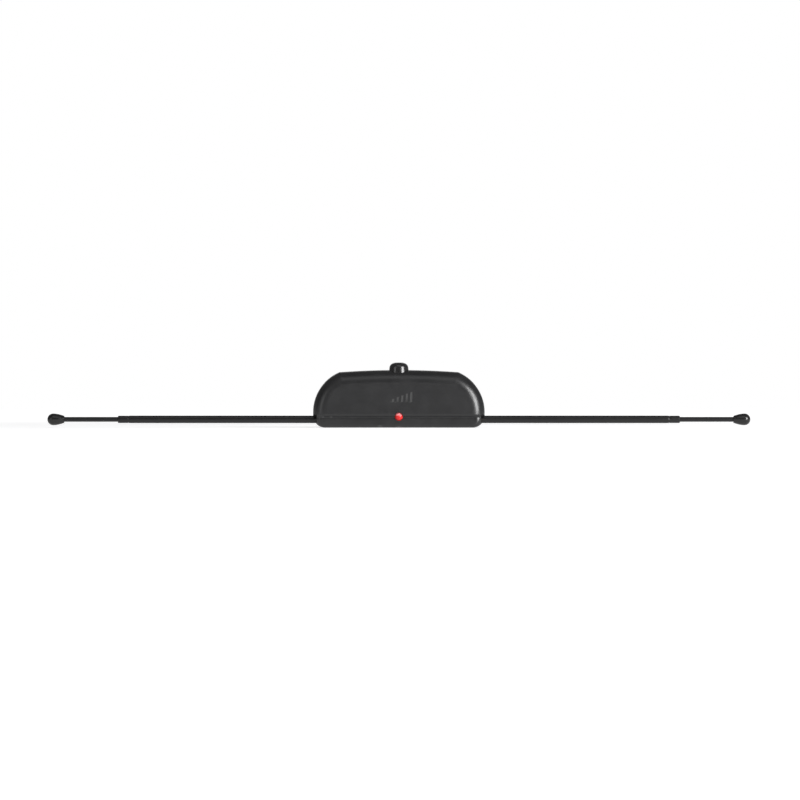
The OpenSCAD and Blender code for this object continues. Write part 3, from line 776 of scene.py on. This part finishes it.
def tip_profile(low, high):
    """Sides that swell out from the neck into a ball end, with a socket for the rod."""
    centre = high - TIP_R
    neck = low + TIP_COLLAR
    outer = [(TIP_NECK_R - TIP_COLLAR, low)]
    outer += arc(TIP_NECK_R - TIP_ROUND, low + TIP_ROUND, TIP_ROUND, -80, -10, 5)
    for turn in range(0, 91, TIP_STEP):
        swell = (TIP_R - TIP_NECK_R) * math.sin(math.radians(turn))
        outer.append((TIP_NECK_R + swell, neck + (centre - neck) * turn / 90))
    outer += [(TIP_R * math.sin(math.radians(a)), centre + TIP_R * math.cos(math.radians(a)))
              for a in range(90 - TIP_STEP, 0, -TIP_STEP)]
    outer += [(0.0, high), (0.0, low + TIP_SOCKET), (TIP_SOCKET_R, low + TIP_SOCKET)]
    outer += [(TIP_SOCKET_R, low)]
    return outer


# Black lacquer over drawn brass: even satin with a soft streak of light along
# the tube, faint drawing lines along its length, and brownish at worn rims.
lacquered_tube = finish("black_lacquer_on_drawn_tube", "#0c0c0d", "#141415", patch=14 * MM,
                        grain=0.5 * MM, lift=0.003 * MM, rough=0.3, spread=0.06, wear="#4b4238",
                        stretch=(0.12, 1.0, 1.0), IOR=1.42)
# The rod has the same lacquer, burnished by the bush as it slides.
lacquered_rod = finish("black_lacquer_burnished_rod", "#0d0d0e", "#151516", patch=10 * MM,
                       grain=0.4 * MM, lift=0.002 * MM, rough=0.26, spread=0.05, wear="#4b4238",
                       stretch=(0.1, 1.0, 1.0), IOR=1.42)
# Tips of moulded polypropylene: waxy satin with flow marks near the neck.
moulded_tip = finish("moulded_polypropylene", "#0f0f0f", "#171717", patch=3 * MM, grain=0.4 * MM,
                     lift=0.006 * MM, rough=0.27, spread=0.04, wear="#404040", IOR=1.45)

for side, name in ((1, "right"), (-1, "left")):
    tube_low, tube_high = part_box(name + "_outer_tube")
    ends = sorted((abs(tube_low.x), abs(tube_high.x)))
    rod_low, rod_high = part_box(name + "_inner_rod")
    rod_ends = sorted((abs(rod_low.x), abs(rod_high.x)))
    tip_low, tip_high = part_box(name + "_tip_cap")
    tip_ends = sorted((abs(tip_low.x), abs(tip_high.x)))
    parts = (
        ("outer_tube", tube_profile(*ends), True, name + "_arm", "black_tube", lacquered_tube),
        ("inner_rod", rod_profile(*rod_ends), False, name + "_rod", "black_rod", lacquered_rod),
        ("tip_cap", tip_profile(*tip_ends), True, name + "_rod", "tip_plastic", moulded_tip),
    )
    for part, profile, closed, body, slot, material in parts:
        mirrored = [(r, side * x) for r, x in profile]
        made = piece(name + "_" + part + "_turned",
                     turned(mirrored, centre=(0.0, PIVOT_Z), along="x", closed=closed))
        shade(made, 40)
        wears(made, material)
        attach(made, body)
        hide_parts(name + "_" + part)

# Guide bushes of natural nylon, which show as a thin pale ring inside the
# mouth of each tube.
moulded_nylon = finish("moulded_nylon_natural", "#cfcabb", "#dedacd", patch=3 * MM,
                       grain=0.4 * MM, lift=0.006 * MM, rough=0.38, spread=0.06, IOR=1.53,
                       Subsurface_Weight=0.2, Subsurface_Radius=(0.0008, 0.0007, 0.0006))
# Swivels and friction clips of turned brass, bare: yellow metal dulled by a
# brown tarnish in patches, with fine turning marks.
turned_brass = finish("turned_brass_bare", "#a9884a", "#c6a763", patch=2.5 * MM, grain=0.3 * MM,
                      lift=0.004 * MM, rough=0.3, spread=0.1, wear="#dcc27f",
                      stretch=(3.0, 1.0, 1.0), Metallic=1.0)
# Screws, washers and leads of zinc-plated steel: a cool grey with a slightly
# uneven sheen, brighter where the driver has touched the recess.
zinc_steel = finish("zinc_plated_steel", "#9a9c9f", "#b9bbbd", patch=1.5 * MM, grain=0.35 * MM,
                    lift=0.004 * MM, rough=0.34, spread=0.1, wear="#d0d1d2", Metallic=1.0)
# Solder tags of tinned brass: greyer and softer than the screws.
tinned_brass = finish("tinned_brass_strip", "#a39e90", "#bdb9ac", patch=2 * MM, grain=0.4 * MM,
                      lift=0.005 * MM, rough=0.42, spread=0.08, wear="#c9bf97", Metallic=1.0)
# Lead wires with extruded PVC insulation, dark red.
pvc_sleeve = finish("extruded_pvc_dark_red", "#6a1a1a", "#832525", patch=4 * MM, grain=0.5 * MM,
                    lift=0.01 * MM, rough=0.4, spread=0.06, IOR=1.53)
for name in ("right", "left"):
    for part, material in (("guide_bush", moulded_nylon), ("swivel", turned_brass),
                           ("friction_clip", turned_brass), ("spring_washer", zinc_steel),
                           ("solder_tag", tinned_brass), ("lead_wire", pvc_sleeve)):
        wears(nodes[name + "_" + part], material)

# ---------------------------------------------------------------------------
# Housing screws
# Two self-tapping screws close the covers and two more are the arms' pivots,
# all put in from the back: zinc-plated steel pan heads with a cross recess.
HEAD_R = 2.0 * MM
HEAD_T = 1.4 * MM
HEAD_DOME = 0.5 * MM
HEAD_SIDE = 0.62 * MM
HEAD_EDGE = 0.08 * MM
SHANK_R = 1.0 * MM
THREAD_DEPTH = 0.22 * MM
THREAD_PITCH = 0.8 * MM
THREAD_POINT = 1.2 * MM
THREAD_SHARPNESS = 1.7
RINGS_PER_TURN = 10
POINT_SHARE = 0.45
RECESS_W = 0.5 * MM
RECESS_R = 1.2 * MM
RECESS_HEART = 0.31 * MM
RECESS_DEPTH = 0.75 * MM


def screw_body(x, z, tip, smooth_to):
    """Head, plain shank down to smooth_to and a cut thread from there to the tip."""
    seat = SCREW_SEAT
    top = seat + HEAD_T
    rings = [(HEAD_R * share, top - HEAD_DOME * share**2.4)
             for share in (0.3, 0.55, 0.75, 0.9, 0.97)]
    rings += [(HEAD_R, top - HEAD_SIDE), (HEAD_R, seat + HEAD_EDGE), (HEAD_R - HEAD_EDGE, seat)]
    rings += [(SHANK_R + HEAD_EDGE, seat), (SHANK_R, seat - HEAD_EDGE), (SHANK_R, smooth_to)]
    steps = int((smooth_to - tip) / (THREAD_PITCH / RINGS_PER_TURN))
    bm = bmesh.new()
    loops = []
    segments = 48
    for radius, y in rings:
        loops.append([(radius, y)] * segments)
    for i in range(1, steps + 1):
        y = smooth_to - (smooth_to - tip) * i / steps
        taper = smooth((y - tip) / THREAD_POINT)
        run_out = smooth((smooth_to - y) / THREAD_PITCH)
        loop = []
        for j in range(segments):
            phase = (y / THREAD_PITCH - j / segments) % 1.0
            ridge = max(0.0, 1 - abs(2 * phase - 1) * THREAD_SHARPNESS)
            depth = THREAD_DEPTH * (1 - ridge) * run_out
            loop.append(((SHANK_R - depth) * (POINT_SHARE + (1 - POINT_SHARE) * taper), y))
        loops.append(loop)
    made = []
    for loop in loops:
        made.append([bm.verts.new((x + r * math.cos(2 * math.pi * j / segments), y,
                                   z + r * math.sin(2 * math.pi * j / segments)))
                     for j, (r, y) in enumerate(loop)])
    for low, high in zip(made, made[1:]):
        for j in range(segments):
            k = (j + 1) % segments
            bm.faces.new((low[j], low[k], high[k], high[j]))
    for ring, y in ((made[0], top), (made[-1], tip)):
        middle = bm.verts.new((x, y, z))
        for j in range(segments):
            bm.faces.new((ring[j], ring[(j + 1) % segments], middle))
    bmesh.ops.recalc_face_normals(bm, faces=bm.faces)
    return bm


def cross_recess(x, z, turn):
    """A tapered cross, as deep as the driver's point."""
    bm = bmesh.new()
    top = SCREW_SEAT + HEAD_T
    arms = []
    for quarter in range(4):
        angle = turn + math.radians(90) * quarter
        ahead = Vector((math.cos(angle), math.sin(angle)))
        beside = Vector((-ahead.y, ahead.x))
        arms += [ahead * RECESS_R - beside * RECESS_W / 2,
                 ahead * RECESS_R + beside * RECESS_W / 2,
                 (ahead + beside) * RECESS_HEART]
    levels = ((top + 0.3 * MM, 1.1), (top - 0.15 * MM, 1.0), (top - RECESS_DEPTH, 0.45))
    loops = [[bm.verts.new((x + a.x * scale, y, z + a.y * scale)) for a in arms]
             for y, scale in levels]
    for low, high in zip(loops, loops[1:]):
        for j in range(len(arms)):
            k = (j + 1) % len(arms)
            bm.faces.new((low[j], low[k], high[k], high[j]))
    bm.faces.new(loops[0])
    bm.faces.new(loops[-1][::-1])
    return bm


SCREWS = (
    # kind, x, z, tip, where the thread starts
    ("cover_screw", COVER_SCREW_X, COVER_SCREW_Z, -FRONT_DEPTH + WALL + 1.2 * MM, 0.0),
    ("pivot_screw", PIVOT_X, PIVOT_Z, -FRONT_DEPTH + BAND_STEP + WALL / 2 + 1 * MM,
     EYE_FRONT - 0.2 * MM),
)
draw = random.Random(7)
for side, name in ((1, "right"), (-1, "left")):
    for kind, x, z, tip, plain in SCREWS:
        made = piece(name + "_" + kind + "_pan_head", screw_body(side * x, z, tip, plain))
        recess = cross_recess(side * x, z, draw.uniform(0.0, math.pi / 2))
        boolean(made, "DIFFERENCE", [recess])
        shade(made, 35)
        wears(made, zinc_steel)
        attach(made, "housing")
        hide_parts("cover_screws" if kind == "cover_screw" else name + "_pivot_screw")

# ---------------------------------------------------------------------------
# Circuit board
# A glass-epoxy board on the back cover's bosses, with the balun, the amplifier
# transistor and its passive parts, all hidden once the covers are closed.
for node in ("board_screws", "led_leads"):
    wears(nodes[node], zinc_steel)
# FR4 laminate: green solder mask through which the glass weave shows faintly.
wears(nodes["circuit_board"], finish(
    "fr4_green_solder_mask", "#123f24", "#1b5733", patch=6 * MM, grain=0.6 * MM, lift=0.01 * MM,
    rough=0.32, spread=0.06, wear="#8d8a5a", IOR=1.52))
# Ferrite: near-black sintered ceramic with a dull, slightly gritty skin.
wears(nodes["balun_core"], finish(
    "sintered_ferrite", "#1d1d1f", "#2c2c2f", patch=1.5 * MM, grain=0.3 * MM, lift=0.02 * MM,
    rough=0.62, spread=0.08, wear="#4b4b4e", IOR=2.0))
# Enamelled copper wire: orange-brown metal under clear varnish.
wears(nodes["balun_winding"], finish(
    "enamelled_copper_wire", "#8a3f1c", "#a9562a", patch=1.2 * MM, grain=0.3 * MM, lift=0.004 * MM,
    rough=0.28, spread=0.06, Metallic=1.0))
# Transistor body: matt black transfer-moulded epoxy with a mineral filler.
wears(nodes["transistor"], finish(
    "transfer_moulded_epoxy", "#202020", "#2b2b2b", patch=1.5 * MM, grain=0.25 * MM,
    lift=0.012 * MM, rough=0.6, spread=0.06, wear="#454545", IOR=1.55))
# Capacitor sleeve: dark blue shrunk film, glossy with slow ripples.
wears(nodes["electrolytic_capacitor"], finish(
    "shrunk_film_dark_blue", "#1c2547", "#283463", patch=2.5 * MM, grain=1.2 * MM,
    lift=0.03 * MM, rough=0.25, spread=0.06, wear="#5a6488", IOR=1.5))
# Disc capacitors: ochre dipped coating, thick and slightly lumpy.
wears(nodes["disc_capacitors"], finish(
    "dipped_ceramic_coating", "#a8702a", "#c08a3c", patch=1.8 * MM, grain=0.8 * MM,
    lift=0.05 * MM, rough=0.45, spread=0.08, IOR=1.5))
# Resistors: pale tan conformal lacquer.
wears(nodes["resistors"], finish(
    "conformal_lacquer_tan", "#b59a6b", "#cbb487", patch=1.2 * MM, grain=0.6 * MM,
    lift=0.02 * MM, rough=0.4, spread=0.06, IOR=1.5))

# ---------------------------------------------------------------------------
# Studio
# A pale floor that brightens away from the object, a white wall of light far
# behind it, dim light from all other sides, a soft box on the right, and weak
# fills on the left and overhead.
FLOOR_R = 4.0
FLOOR_GLOW = {"From Min": 0.25, "From Max": 1.1, "To Min": 0.55, "To Max": 0.85}
WALL_LIGHT = 1.0
ROOM_LIGHT = 0.19
WALL_EDGE = (0.80, 0.94)

bpy.context.scene.view_settings.view_transform = "Standard"
floor_mesh = bmesh.new()
bmesh.ops.create_circle(floor_mesh, cap_ends=True, segments=128, radius=FLOOR_R)
floor = piece("floor", floor_mesh)
floor.location.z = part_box("front_cover")[0].z
# Painted board: matt and almost white, with a barely visible tooth.
painted_board = finish("painted_board_white", "#dededf", "#e2e2e3", patch=60 * MM, grain=6 * MM,
                       lift=0.01 * MM, rough=0.9, spread=0.05, Specular_IOR_Level=0.1,
                       Emission_Color=linear("#ffffff"))
floor_shader = painted_board.node_tree.nodes["Principled BSDF"]
away = add(painted_board, "VectorMath", links={
    0: add(painted_board, "TexCoord").outputs["Object"]}, operation="LENGTH").outputs["Value"]
glow = add(painted_board, "MapRange", FLOOR_GLOW, {"Value": away}, interpolation_type="SMOOTHSTEP")
painted_board.node_tree.links.new(glow.outputs[0], floor_shader.inputs["Emission Strength"])
wears(floor, painted_board)

world = bpy.data.worlds.new("studio")
bpy.context.scene.world = world
world.use_nodes = True
ahead = add(world, "SeparateXYZ", links={0: add(world, "TexCoord").outputs["Generated"]}).outputs["Y"]
wall = add(world, "MapRange", {"From Min": WALL_EDGE[0], "From Max": WALL_EDGE[1],
                               "To Min": ROOM_LIGHT, "To Max": WALL_LIGHT},
           {"Value": ahead}, interpolation_type="SMOOTHSTEP")
backdrop = world.node_tree.nodes["Background"]
backdrop.inputs["Color"].default_value = linear("#ffffff")
world.node_tree.links.new(wall.outputs[0], backdrop.inputs["Strength"])

LAMPS = (
    # name, place, width, height, watts
    ("soft_box_right", (1.25, -1.15, 0.42), 0.74, 1.0, 46.0),
    ("fill_left", (-1.25, -1.15, 0.35), 0.6, 0.9, 3.0),
    ("overhead", (0.0, -1.3, 1.7), 1.4, 1.0, 4.5),
)
for name, place, width, height, watts in LAMPS:
    lamp = bpy.data.lights.new(name, "AREA")
    lamp.shape = "RECTANGLE"
    lamp.size = width
    lamp.size_y = height
    lamp.energy = watts
    holder = bpy.data.objects.new(name, lamp)
    holder.location = place
    holder.rotation_euler = (AIM - holder.location).to_track_quat("-Z", "Y").to_euler()
    bpy.context.scene.collection.objects.link(holder)
